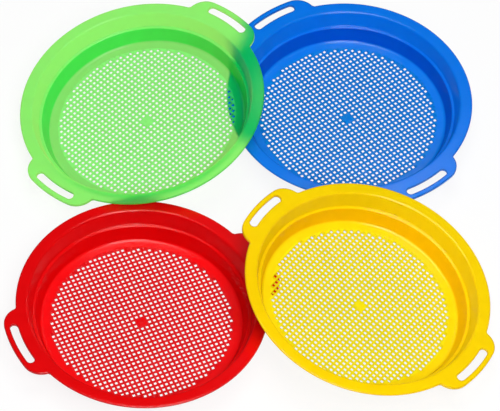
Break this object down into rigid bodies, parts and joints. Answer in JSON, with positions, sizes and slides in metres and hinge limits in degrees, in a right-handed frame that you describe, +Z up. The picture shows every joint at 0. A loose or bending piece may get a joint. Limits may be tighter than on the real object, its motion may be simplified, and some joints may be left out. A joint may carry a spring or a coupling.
{
  "type": "sand sieve set",
  "caption": "Round plastic sand sieves with a flat rim, a stepped bowl, a square-hole mesh floor and two slotted grip handles each, laid out partly on top of each other.",
  "frame": {"origin": "middle of the red sieve's base, on the ground", "axes": "+Z up, +X from the red sieve towards the yellow one, +Y from the red sieve towards the green one"},
  "size_m": [0.4513, 0.4818, 0.0723],
  "materials": {
    "red_plastic": "gloss",
    "blue_plastic": "gloss",
    "green_plastic": "gloss",
    "yellow_plastic": "gloss"
  },
  "bodies": {
    "red": {"red_sieve": "red_plastic"},
    "blue": {"blue_sieve": "blue_plastic"},
    "green": {"green_sieve": "green_plastic"},
    "yellow": {"yellow_sieve": "yellow_plastic"}
  },
  "joints": [
    {"name": "blue_slide", "type": "slide", "parent": "red", "child": "blue", "axis": [0.7071, 0.7071, 0], "range_m": [0, 0.12]},
    {"name": "green_lift", "type": "slide", "parent": "red", "child": "green", "axis": [0, 0, 1], "range_m": [0, 0.12]},
    {"name": "yellow_lift", "type": "slide", "parent": "red", "child": "yellow", "axis": [0, 0, 1], "range_m": [0, 0.12]}
  ]
}
